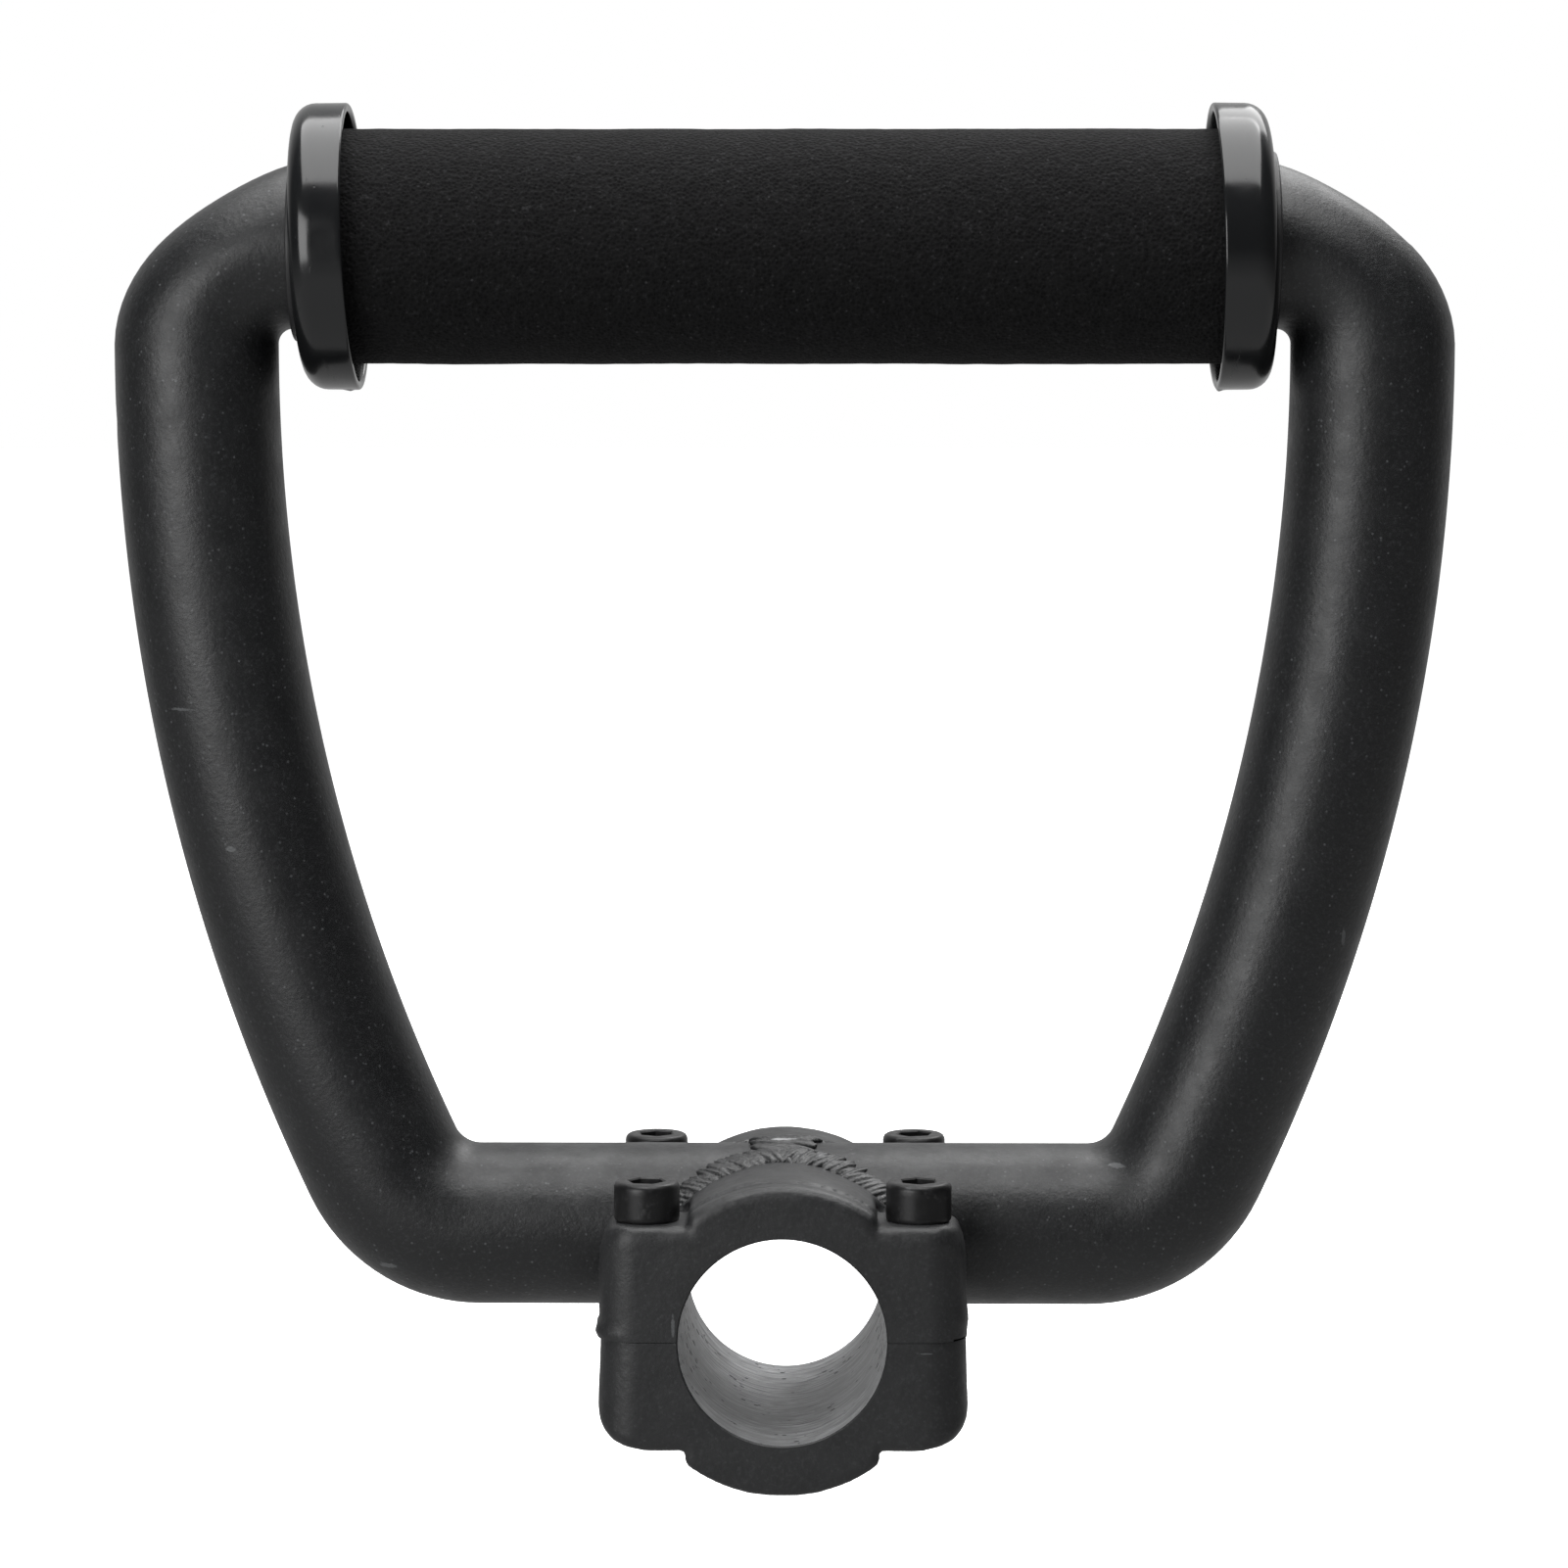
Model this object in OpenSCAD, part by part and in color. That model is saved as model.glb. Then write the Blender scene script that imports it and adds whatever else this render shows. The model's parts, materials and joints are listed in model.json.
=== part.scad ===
// Clamp-on grip handle for a pull up bar.
// A bent tube carries a foam roller grip and is welded to a split clamp that four socket screws close on the bar.
// Millimetres. Origin at the centre of the bar bore: +Y along the bar, +Z towards the grip, +X to the right.

/* [Bar and clamp] */
// Diameter of the bar that the clamp closes on
bar_d = 32; // [25:0.1:40]
// Thickness of the ring of metal round the bar
barrel_wall = 8.5; // [6:0.5:12]
// Length along the bar of each of the ears that hold the screws
ear_depth = 14; // [12:0.5:20]
// Height of the upper half's ears above the bar centre
upper_ear_h = 17.9; // [14:0.1:22]
// Depth of the cap's ears below the bar centre
lower_ear_h = 17; // [16:0.1:22]
// Metal outside the screw's centre line at each side
ear_margin = 7.6; // [7:0.1:11]
// Metal left between the bore and a screw hole
bore_to_screw_wall = 1.6; // [1.2:0.1:4]
// Open line between the two clamp halves
split_gap = 0.3; // [0.2:0.1:2]
// Radius of the ears' upright corners
ear_corner_r = 6; // [3:0.5:7]
// Radius of the castings' edges
edge_r = 2; // [1:0.1:3]

/* [Screws] */
// Thread diameter of the socket screws
screw_d = 6; // [5:0.1:8]
// Length under the head
screw_length = 30; // [26:1:32]
// Across the flats of the hexagon socket
socket_af = 5; // [4:0.5:6]

/* [Tube] */
// Outside diameter of the handle tube
tube_d = 25.4; // [21:0.1:31]
// Wall of the handle tube
tube_wall = 2; // [1.2:0.1:3]
// Height of the grip's centre line above the bar centre
grip_z = 166.8; // [135:0.1:210]
// Half length of the straight run across the clamp
base_half = 48; // [38:0.1:54]
// Centre line radius of the two lower bends
bend_r = 17; // [16:0.1:28]
// Straight length under each top elbow
limb_straight = 2; // [0.5:0.5:10]
// Clearance beside the tube where it passes between the ears
seat_gap = 1.8; // [1.7:0.1:4]

/* [Grip] */
// Length of the roller grip over both collars
grip_length = 150; // [125:1:185]
// Thickness of the foam sleeve
foam_t = 3.2; // [2:0.1:8]
// Wall of the plastic core under the foam
core_wall = 1.25; // [0.8:0.05:3]
// Wall of the bearing bushes
bush_wall = 1; // [0.8:0.1:2.5]
// Length of a bush inside the core
bush_length = 12; // [6:1:25]
// Width of an end collar
collar_w = 8.4; // [6:0.1:12]
// How far a collar stands out over the foam
collar_rise = 3.95; // [2:0.05:8]
// Free end play of the roller at each side
end_float = 0.4; // [0.4:0.1:4]

/* [Hidden] */
$fn = 96;
over = 1;                                    // how far a cut runs past a face

// Clamp
bar_r = bar_d / 2;
barrel_r = bar_r + barrel_wall;
clamp_length = tube_d + 2 * (seat_gap + ear_depth);
screw_clearance = 0.3;                       // round the screw in the upper half
thread_clearance = 0.05;                     // round the screw in the cap's tapped hole
screw_hole_r = screw_d / 2 + screw_clearance;
thread_hole_r = screw_d / 2 + thread_clearance;
head_r = screw_d * 5 / 6;
head_h = screw_d;
head_gap = 1.5;                              // between a screw's head and the arch beside it
head_chamfer = screw_d / 12;
socket_depth = screw_d / 2;
screw_x = bar_r + bore_to_screw_wall + screw_hole_r;
screw_y = clamp_length / 2 - ear_depth / 2;
clamp_half_w = screw_x + ear_margin;
arch_half_w = screw_x - head_r - head_gap;
hole_end_gap = 2;                            // free thread below the screw's tip
rim_r = 1.5;                                 // rounding of the barrel's two end rims

// Tube
tube_r = tube_d / 2;
tube_lift = 0.5;                             // least height of the tube's underside above the bar centre
tube_proud = 1.4;                            // least height of the tube's top above the barrel
tube_z = max(tube_r + tube_lift, barrel_r + tube_proud - tube_r);
elbow_r = tube_r + 2.3;
collar_face_x = grip_length / 2;
bush_flange_t = 1;
elbow_x = collar_face_x + bush_flange_t + end_float;
limb_x = elbow_x + elbow_r;
limb_top_z = grip_z - elbow_r - limb_straight;
// The limb is one arc, tangent to the upright stub above it and to the lower bend below it.
// Its angle is rounded, and the bend's centre follows from that, so the arcs meet on one plane.
limb_drop = limb_top_z - tube_z - bend_r;
limb_inset = limb_x - base_half - bend_r;
limb_angle = round(20000 * atan(limb_inset / limb_drop)) / 10000;
limb_span = limb_drop / sin(limb_angle);
limb_r = limb_span + bend_r;
bend_x = limb_x - bend_r - limb_span * (1 - cos(limb_angle));
tube_end_gap = 0.5;                          // from the middle plane to each end of the tube
cope_gap = 0.05;                             // between a coped tube end and the barrel

// Welds
bead_r = 1.6;
bead_sides = 10;
bead_steps = 24;
bead_end_angle = 148;                        // where a bead stops, round the tube from its top
bead_join_angle = acos((barrel_r - tube_z) / tube_r);
crown_bead_r = 2;
crown_bead_rise = 0.5;

// Grip
bush_clearance = 0.05;
bush_bore_r = tube_r + bush_clearance;
core_bore_r = bush_bore_r + bush_wall;
core_r = core_bore_r + core_wall;
foam_r = core_r + foam_t;
collar_r = foam_r + collar_rise;
collar_web = 3;
collar_lip = 1.3;
collar_edge_r = 3;
bush_flange_rise = 0.9;
bush_flange_r = core_bore_r + bush_flange_rise;

paint = "#2a2c2e";
casting = "#303234";
black_steel = "#191a1b";
foam_black = "#101011";
gloss_black = "#232629";
nylon = "#3a3c3e";

// ---- helpers ----

// Turns a shape made round Z so that its axis lies along X.
module along_x() {
    rotate([0, 90, 0]) children();
}

// Ring profile of the handle tube.
module tube_profile() {
    difference() {
        circle(r = tube_r);
        circle(r = tube_r - tube_wall);
    }
}

// Moves its children in a coarse and a fine step, which keeps every digit of a derived length.
module move_to(x, z) {
    coarse_x = round(x);
    coarse_z = round(z);
    translate([coarse_x, 0, coarse_z]) translate([x - coarse_x, 0, z - coarse_z]) children();
}

// Straight tube of a length that starts at x0 and runs to the right at height z.
module tube_along_x(x0, length, z) {
    move_to(x0, z) along_x() linear_extrude(length) tube_profile();
}

// Bent tube in the XZ plane. Angles run from +X towards +Z.
module tube_arc(centre_x, centre_z, radius, from, turn) {
    coarse = round(radius);
    move_to(centre_x, centre_z)
        rotate([90, 0, 0])
            rotate([0, 0, from])
                rotate_extrude(angle = turn, $fn = 192)
                    translate([coarse, 0]) translate([radius - coarse, 0]) tube_profile();
}

// Copies its children at the right and, mirrored, at the left.
module both_sides() {
    children();
    mirror([1, 0, 0]) children();
}

// Rectangle centred on the origin with round corners.
module round_rectangle(w, h, r) {
    square([w - 2 * r, h], center = true);
    square([w, h - 2 * r], center = true);
    for (x = [-1, 1], y = [-1, 1])
        translate([x * (w / 2 - r), y * (h / 2 - r)]) circle(r = r);
}

// ---- handle tube ----

module half_tube() {
    base_run = bend_x - tube_end_gap;
    move_to(bend_x, tube_z) rotate([0, -90, 0]) linear_extrude(base_run) tube_profile();
    tube_arc(bend_x, tube_z + bend_r, bend_r, -90, 90 - limb_angle);
    tube_arc(limb_x - limb_r, limb_top_z, limb_r, 0, -limb_angle);
    translate([limb_x, 0, limb_top_z]) linear_extrude(limb_straight) tube_profile();
    tube_arc(elbow_x, grip_z - elbow_r, elbow_r, 0, 90);
}

module handle_tube() {
    color(paint) difference() {
        union() {
            both_sides() half_tube();
            tube_along_x(-elbow_x, 2 * elbow_x, grip_z);
        }
        rotate([90, 0, 0])
            cylinder(r = barrel_r + cope_gap, h = tube_d + 2 * over, center = true);
    }
}

// ---- clamp ----

// Ring round the bar, full circle, with its end rims rounded.
module barrel() {
    half = clamp_length / 2;
    rotate([90, 0, 0]) rotate_extrude() {
        translate([bar_r, -half]) square([barrel_wall - rim_r, clamp_length]);
        translate([bar_r, rim_r - half]) square([barrel_wall, clamp_length - 2 * rim_r]);
        for (side = [-1, 1])
            translate([barrel_r - rim_r, side * (half - rim_r)]) circle(r = rim_r, $fn = 48);
    }
}

// The four ears of one half, rising to height h. Plan, front and side outlines each round their own edges.
module ears(h) {
    full_w = 2 * clamp_half_w;
    intersection() {
        linear_extrude(h) difference() {
            round_rectangle(full_w, clamp_length, ear_corner_r);
            square([full_w + over, clamp_length - 2 * ear_depth], center = true);
        }
        rotate([90, 0, 0]) linear_extrude(clamp_length, center = true)
            round_rectangle(full_w, 2 * h, edge_r);
        rotate([90, 0, 90]) linear_extrude(full_w, center = true)
            round_rectangle(clamp_length, 2 * h, edge_r);
    }
}

// Flats beside the arch, milled down to the tops of the ears.
module ear_flats(h) {
    for (x = [-1, 1], y = [-1, 1])
        translate([x * (arch_half_w + barrel_r / 2), y * screw_y, h + barrel_r / 2])
            cube([barrel_r, ear_depth, barrel_r], center = true);
}

// Half of the clamp above the split, with the ears at height h.
module clamp_half(h) {
    difference() {
        union() {
            barrel();
            ears(h);
        }
        ear_flats(h);
        rotate([90, 0, 0]) cylinder(r = bar_r, h = clamp_length + 2 * over, center = true);
        translate([0, 0, split_gap / 2 - barrel_r])
            cube([2 * clamp_half_w + over, clamp_length + over, 2 * barrel_r], center = true);
    }
}

module at_screws() {
    for (x = [-1, 1], y = [-1, 1])
        translate([x * screw_x, y * screw_y, 0]) children();
}

module clamp_saddle() {
    color(casting) difference() {
        clamp_half(upper_ear_h);
        at_screws() cylinder(r = screw_hole_r, h = upper_ear_h + over);
    }
}

module clamp_cap() {
    hole_depth = screw_length - upper_ear_h + hole_end_gap;
    color(casting) difference() {
        mirror([0, 0, 1]) clamp_half(lower_ear_h);
        at_screws() translate([0, 0, -hole_depth]) cylinder(r = thread_hole_r, h = hole_depth);
    }
}

// ---- welds ----

// Point on the line where the tube meets the barrel, at an angle round the tube from its top.
function seam_point(angle, side, face) =
    let (z = tube_z + tube_r * cos(angle))
    [side * sqrt(max(0, barrel_r * barrel_r - z * z)), -face * tube_r * sin(angle), z];

// One bead along that line. side is -1 for the left tube end, face is 1 for the front.
module seam_bead(side, face) {
    path = [for (i = [0 : bead_steps])
        seam_point(bead_join_angle + (bead_end_angle - bead_join_angle) * i / bead_steps, side, face)];
    function direction(i) =
        let (a = path[max(0, i - 1)], b = path[min(bead_steps, i + 1)]) (b - a) / norm(b - a);
    // Each ring stands across the path: out from the barrel's centre line, and across that.
    rings = [for (i = [0 : bead_steps])
        let (
            t = direction(i),
            outward = [path[i][0], 0, path[i][2]] / barrel_r,
            across = cross(t, outward) / norm(cross(t, outward)),
            up = cross(across, t)
        )
        for (k = [0 : bead_sides - 1])
            let (turn = 360 * k / bead_sides)
            path[i] + bead_r * (cos(turn) * across + sin(turn) * up)];
    walls = [for (i = [0 : bead_steps - 1], k = [0 : bead_sides - 1])
        let (next = (k + 1) % bead_sides)
        [i * bead_sides + k, i * bead_sides + next, (i + 1) * bead_sides + next, (i + 1) * bead_sides + k]];
    start_cap = [for (k = [0 : bead_sides - 1]) bead_sides - 1 - k];
    end_cap = [for (k = [0 : bead_sides - 1]) bead_steps * bead_sides + k];
    polyhedron(points = rings, faces = concat(walls, [start_cap, end_cap]), convexity = 4);
}

module weld_end(side) {
    color(paint) {
        seam_bead(side, 1);
        seam_bead(side, -1);
    }
}

// Bead that closes the gap between the two tube ends. It follows the tube's top from one seam to the other.
module weld_crown() {
    reach = bead_join_angle - asin(bead_r / tube_r);
    color(paint)
        translate([0, 0, tube_z]) along_x()
            rotate([0, 0, 180 - reach])
                rotate_extrude(angle = 2 * reach)
                    translate([tube_r + crown_bead_rise - crown_bead_r, 0]) circle(r = crown_bead_r);
}

// ---- screws ----

module socket_screw() {
    color(black_steel) difference() {
        union() {
            translate([0, 0, -screw_length]) cylinder(d = screw_d, h = screw_length);
            cylinder(r = head_r, h = head_h - head_chamfer);
            translate([0, 0, head_h - head_chamfer])
                cylinder(r1 = head_r, r2 = head_r - head_chamfer, h = head_chamfer);
        }
        translate([0, 0, head_h - socket_depth])
            cylinder(d = socket_af / cos(30), h = socket_depth + over, $fn = 6);
    }
}

module screw_at(x, y) {
    translate([x * screw_x, y * screw_y, upper_ear_h]) socket_screw();
}

// ---- roller grip ----

// Turned ring about the grip's axis, from x0 to x1.
module grip_ring(inner, outer, x0, x1) {
    translate([x0, 0, grip_z]) along_x() linear_extrude(x1 - x0) difference() {
        circle(r = outer);
        circle(r = inner);
    }
}

module grip_core() {
    color(nylon) grip_ring(core_bore_r, core_r, -collar_face_x, collar_face_x);
}

module foam_grip() {
    half = collar_face_x - collar_web;
    color(foam_black) grip_ring(core_r, foam_r, -half, half);
}

// Cup-shaped collar: a disc on the core's end with a lip that hides the foam's end.
module end_collar() {
    lip_end = collar_face_x - collar_w;
    straight_w = collar_w - collar_edge_r;
    lip_x = collar_r - collar_lip;
    color(gloss_black) translate([0, 0, grip_z]) along_x() rotate_extrude() difference() {
        union() {
            translate([core_r, lip_end]) square([collar_r - core_r, straight_w]);
            translate([core_r, lip_end]) square([collar_r - core_r - collar_edge_r, collar_w]);
            translate([collar_r - collar_edge_r, collar_face_x - collar_edge_r])
                circle(r = collar_edge_r);
        }
        translate([core_r - over, lip_end - over])
            square([lip_x - core_r + over, collar_w - collar_web + over]);
    }
}

module bush() {
    color(nylon) {
        grip_ring(bush_bore_r, core_bore_r, collar_face_x - bush_length, collar_face_x);
        grip_ring(bush_bore_r, bush_flange_r, collar_face_x, collar_face_x + bush_flange_t);
    }
}

handle_tube();
clamp_saddle();
clamp_cap();
weld_end(-1);  // weld_left
weld_end(1);  // weld_right
weld_crown();
screw_at(-1, -1);  // screw_front_left
screw_at(1, -1);  // screw_front_right
screw_at(-1, 1);  // screw_rear_left
screw_at(1, 1);  // screw_rear_right
grip_core();
foam_grip();
mirror([1, 0, 0]) end_collar();  // end_collar_left
end_collar();  // end_collar_right
mirror([1, 0, 0]) bush();  // bush_left
bush();  // bush_right
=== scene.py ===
"""Looks of the clamp-on grip handle: powder-coated tube, cast clamp, welds, screws and foam roller grip.

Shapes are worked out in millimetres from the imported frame, and each mesh is made in metres.
"""
import json
import math

import bmesh
import bpy
import numpy as np
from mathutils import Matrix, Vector, noise


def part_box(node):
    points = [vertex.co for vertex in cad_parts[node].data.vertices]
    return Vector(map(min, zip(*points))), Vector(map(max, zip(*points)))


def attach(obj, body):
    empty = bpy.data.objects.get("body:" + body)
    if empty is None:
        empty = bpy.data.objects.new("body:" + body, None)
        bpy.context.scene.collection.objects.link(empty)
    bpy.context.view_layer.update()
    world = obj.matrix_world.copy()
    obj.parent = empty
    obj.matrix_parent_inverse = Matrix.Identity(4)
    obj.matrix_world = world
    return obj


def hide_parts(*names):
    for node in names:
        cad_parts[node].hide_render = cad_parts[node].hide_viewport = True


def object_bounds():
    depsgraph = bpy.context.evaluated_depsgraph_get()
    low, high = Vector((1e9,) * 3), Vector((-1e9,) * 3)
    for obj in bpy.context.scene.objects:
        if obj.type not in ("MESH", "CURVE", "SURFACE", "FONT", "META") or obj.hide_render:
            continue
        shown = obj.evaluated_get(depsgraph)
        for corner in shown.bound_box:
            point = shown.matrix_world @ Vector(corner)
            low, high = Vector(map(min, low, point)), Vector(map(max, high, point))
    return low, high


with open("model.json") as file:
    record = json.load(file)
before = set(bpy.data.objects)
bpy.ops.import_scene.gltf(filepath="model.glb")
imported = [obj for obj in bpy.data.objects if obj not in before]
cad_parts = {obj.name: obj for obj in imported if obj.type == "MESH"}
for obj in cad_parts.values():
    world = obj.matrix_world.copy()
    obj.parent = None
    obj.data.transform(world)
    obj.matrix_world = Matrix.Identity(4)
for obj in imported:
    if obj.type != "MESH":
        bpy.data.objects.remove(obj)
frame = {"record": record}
cad_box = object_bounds()

MM = 0.001

# ---- sizes from the frame, in millimetres ----


def box_mm(node):
    low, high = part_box(node)
    return np.array(low) / MM, np.array(high) / MM


def joint(name):
    return next(j for j in frame["record"]["behaviour"]["joints"] if j["name"] == name)


def joint_mm(name):
    return np.array(joint(name)["pos_m"]) / MM


TUBE_HIGH = box_mm("handle_tube")[1]
CLAMP_HIGH = box_mm("clamp_saddle")[1]
CAP_LOW = box_mm("clamp_cap")[0]
GRIP_Z = joint_mm("grip_spin")[2]
TUBE_R = TUBE_HIGH[1]
LIMB_X = TUBE_HIGH[0] - TUBE_R
CORE_HIGH = box_mm("grip_core")[1]
FOAM_HIGH = box_mm("foam_grip")[1]
COLLAR_LOW, COLLAR_HIGH = box_mm("end_collar_right")
BUSH_LOW, BUSH_HIGH = box_mm("bush_right")
BARREL_R = CLAMP_HIGH[2]
HALF_LENGTH = CLAMP_HIGH[1]
HALF_WIDTH = CLAMP_HIGH[0]
SCREWS = {
    "screw_front_left": "bolt_front_left",
    "screw_front_right": "bolt_front_right",
    "screw_rear_left": "bolt_rear_left",
    "screw_rear_right": "bolt_rear_right",
}
SCREW_X, SCREW_Y, EAR_TOP = joint_mm("screw_rear_right_turn")

# ---- sizes that only the looks need ----

BAR_R = 16.0
SPLIT = 0.04
EAR_DEPTH = 14.0
CAP_EAR = 17.0
TUBE_WALL = 2.0
TUBE_Z = 13.2
BASE_HALF = 48.0
BEND_R = 17.0
ELBOW_R = TUBE_R + 2.3
LIMB_STRAIGHT = 2.0
ELBOW_X = LIMB_X - ELBOW_R
LIMB_TOP = GRIP_Z - ELBOW_R - LIMB_STRAIGHT
LIMB_DROP = LIMB_TOP - TUBE_Z - BEND_R
LIMB_ANGLE = 2 * math.atan((LIMB_X - BASE_HALF - BEND_R) / LIMB_DROP)
LIMB_R = LIMB_DROP / math.sin(LIMB_ANGLE) + BEND_R
BEND_X = LIMB_X - BEND_R - (LIMB_R - BEND_R) * (1 - math.cos(LIMB_ANGLE))


# ---- mesh helpers ----


def make_mesh(name, points, faces):
    """Object with these points, in millimetres, and faces."""
    mesh = bpy.data.meshes.new(name)
    mesh.from_pydata((np.asarray(points) * MM).tolist(), [], [list(f) for f in faces])
    outward = bmesh.new()
    outward.from_mesh(mesh)
    bmesh.ops.recalc_face_normals(outward, faces=outward.faces)
    outward.to_mesh(mesh)
    outward.free()
    piece = bpy.data.objects.new(name, mesh)
    bpy.context.scene.collection.objects.link(piece)
    return piece


def finish_piece(piece, body, materials, nodes, sharp=None):
    """Shades a piece, gives it its materials and hangs it on its body in place of its CAD nodes."""
    for material in materials:
        piece.data.materials.append(material)
    piece.data.shade_smooth()
    if sharp is not None:
        piece.data.set_sharp_from_angle(angle=math.radians(sharp))
    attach(piece, body)
    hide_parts(*nodes)
    return piece


def grid_faces(rows, columns, first=0, closed=False):
    """Quads of a grid whose columns wrap round, and whose rows wrap round too where it is closed."""
    i, j = np.meshgrid(np.arange(rows if closed else rows - 1), np.arange(columns), indexing="ij")
    below = (i + 1) % rows
    beside = (j + 1) % columns
    corners = (i * columns + j, i * columns + beside, below * columns + beside, below * columns + j)
    return (first + np.stack(corners, axis=-1)).reshape(-1, 4).tolist()


def rounded_loop(corners, step=0.8, arc_steps=6):
    """Closed outline through (a, b, radius) corners, with each corner rounded and long sides divided."""
    points = []
    count = len(corners)
    for k, (a, b, radius) in enumerate(corners):
        here = np.array([a, b])
        to_last = np.array(corners[k - 1][:2]) - here
        to_next = np.array(corners[(k + 1) % count][:2]) - here
        to_last /= np.linalg.norm(to_last)
        to_next /= np.linalg.norm(to_next)
        if radius <= 0:
            points.append(here)
            continue
        half = math.acos(np.clip(to_last @ to_next, -1, 1)) / 2
        middle = (to_last + to_next) / np.linalg.norm(to_last + to_next)
        centre = here + middle * radius / math.sin(half)
        start = here + to_last * radius / math.tan(half) - centre
        end = here + to_next * radius / math.tan(half) - centre
        for t in np.linspace(0, 1, arc_steps + 1):
            ray = start * math.cos(t * math.pi / 2) + end * math.sin(t * math.pi / 2)
            points.append(centre + ray / np.linalg.norm(ray) * radius)
    outline = []
    for k, point in enumerate(points):
        after = points[(k + 1) % len(points)]
        pieces = max(1, math.ceil(np.linalg.norm(after - point) / step))
        outline += [point + (after - point) * m / pieces for m in range(pieces)]
    return np.array(outline)


def lathe_points(outline, segments, side=1):
    """Rings of a shape turned about the grip's axis, from (x, radius) points. side is -1 at the left."""
    turn = np.linspace(0, 2 * math.pi, segments, endpoint=False)
    x, r = outline[:, :1], outline[:, 1:]
    return np.stack(
        [np.repeat(side * x, segments, axis=1), r * np.cos(turn), GRIP_Z + r * np.sin(turn)], axis=-1
    )


def rough(points, size, depth, seed=0.0):
    """Smooth noise at each point, between -depth and depth, with features of that size."""
    shift = Vector((seed, -seed, 2 * seed))
    return np.array([depth * noise.noise(Vector(p) / size + shift) for p in points])


# ---- signed distances ----


def round_max(a, b, r):
    """Intersection of two distances, with the edge rounded to radius r."""
    outside = np.hypot(np.maximum(a + r, 0), np.maximum(b + r, 0))
    return np.minimum(-r, np.maximum(a, b)) + outside


def round_min(a, b, r):
    """Union of two distances, with the inner corner filled to radius r."""
    return -round_max(-a, -b, r)


def surface_net(distance, low, high, step):
    """Closed quad surface where distance(x, y, z) is zero, moved onto the true surface."""
    axes = [np.arange(a, b + step, step) for a, b in zip(low, high)]
    field = distance(*np.meshgrid(*axes, indexing="ij"))
    inside = field < 0
    shape = np.array(field.shape) - 1
    offsets = [(i, j, k) for i in (0, 1) for j in (0, 1) for k in (0, 1)]

    def corner(values, offset):
        i, j, k = offset
        return values[i:i + shape[0], j:j + shape[1], k:k + shape[2]]

    total = sum(corner(inside, o).astype(np.int8) for o in offsets)
    active = (total > 0) & (total < 8)
    cells = np.argwhere(active)
    index = np.full(active.shape, -1)
    index[active] = np.arange(len(cells))
    sums = np.zeros((len(cells), 3))
    hits = np.zeros(len(cells))
    for o in offsets:
        for axis in range(3):
            if o[axis]:
                continue
            far = list(o)
            far[axis] = 1
            a = corner(field, o)[active]
            b = corner(field, far)[active]
            crossed = (a < 0) != (b < 0)
            t = np.where(crossed, a / np.where(crossed, a - b, 1), 0)
            place = np.tile(np.array(o, float), (len(cells), 1))
            place[:, axis] += t
            sums += np.where(crossed[:, None], place, 0)
            hits += crossed
    points = np.array(low) + (cells + sums / hits[:, None]) * step

    faces = []
    for axis in range(3):
        u, v = [a for a in range(3) if a != axis]
        near = np.take(inside, range(0, inside.shape[axis] - 1), axis)
        past = np.take(inside, range(1, inside.shape[axis]), axis)
        for edge in np.argwhere(near != past):
            if edge[u] == 0 or edge[v] == 0 or edge[u] > shape[u] - 1 or edge[v] > shape[v] - 1:
                continue
            quad = []
            for du, dv in ((1, 1), (0, 1), (0, 0), (1, 0)):
                cell = edge.copy()
                cell[u] -= du
                cell[v] -= dv
                quad.append(index[tuple(cell)])
            faces.append(quad)
    for _ in range(3):
        points = onto_surface(distance, points)
    return points, faces


def onto_surface(distance, points, reach=0.02):
    """One Newton step of each point towards the surface."""
    value = distance(*points.T)
    slope = np.empty_like(points)
    for axis in range(3):
        ahead = points.copy()
        ahead[:, axis] += reach
        slope[:, axis] = (distance(*ahead.T) - value) / reach
    size = np.maximum((slope ** 2).sum(axis=1), 0.05)
    move = np.clip(value / size, -0.3, 0.3)
    return points - slope * move[:, None]


# ---- materials ----


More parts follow.
